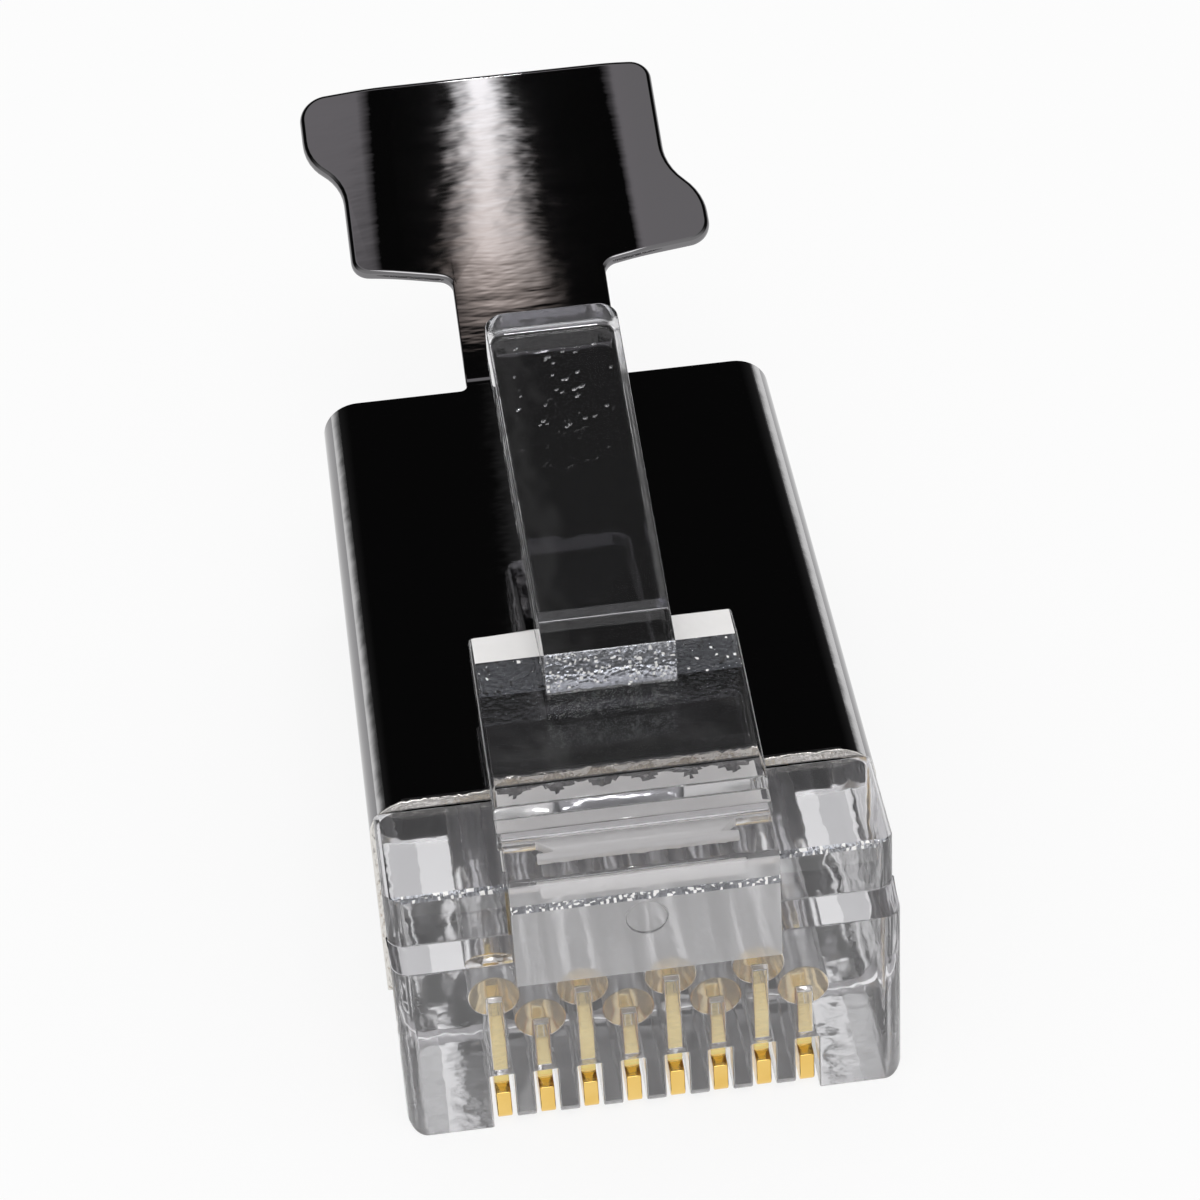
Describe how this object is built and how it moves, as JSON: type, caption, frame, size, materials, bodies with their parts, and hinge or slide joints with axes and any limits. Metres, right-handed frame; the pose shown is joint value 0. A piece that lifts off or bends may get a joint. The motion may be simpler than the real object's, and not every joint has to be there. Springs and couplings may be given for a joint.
{
  "type": "rj45 modular plug",
  "caption": "Shielded modular network plug with a clear nose, gold blade contacts, a sprung latch lever and a folded metal shield whose tail is crimped round the cable.",
  "frame": {"origin": "on the contact side's plane, under the middle of the nose's front face", "axes": "+X across the plug's width, +Y from the front face towards the cable, +Z from the contact side to the latch side"},
  "size_m": [0.012, 0.0297, 0.0115],
  "materials": {
    "clear_plastic": "clear polycarbonate, polished with a spark-eroded texture on the latch steps",
    "plated_sheet": "bright nickel plating on thin folded sheet, near mirror",
    "gold_plating": "thin gold plating on a stamped phosphor bronze blade"
  },
  "bodies": {
    "plug_body": {"housing": "clear_plastic", "shield": "plated_sheet", "contact_1": "gold_plating", "contact_2": "gold_plating", "contact_3": "gold_plating", "contact_4": "gold_plating", "contact_5": "gold_plating", "contact_6": "gold_plating", "contact_7": "gold_plating", "contact_8": "gold_plating"},
    "latch": {"latch": "clear_plastic"}
  },
  "joints": [
    {"name": "latch_hinge", "type": "hinge", "parent": "plug_body", "child": "latch", "pos_m": [0, 0.00175, 0.00736], "axis": [-1, 0, 0], "range_deg": [0, 9], "stiffness_Nm_per_rad": 0.2}
  ]
}
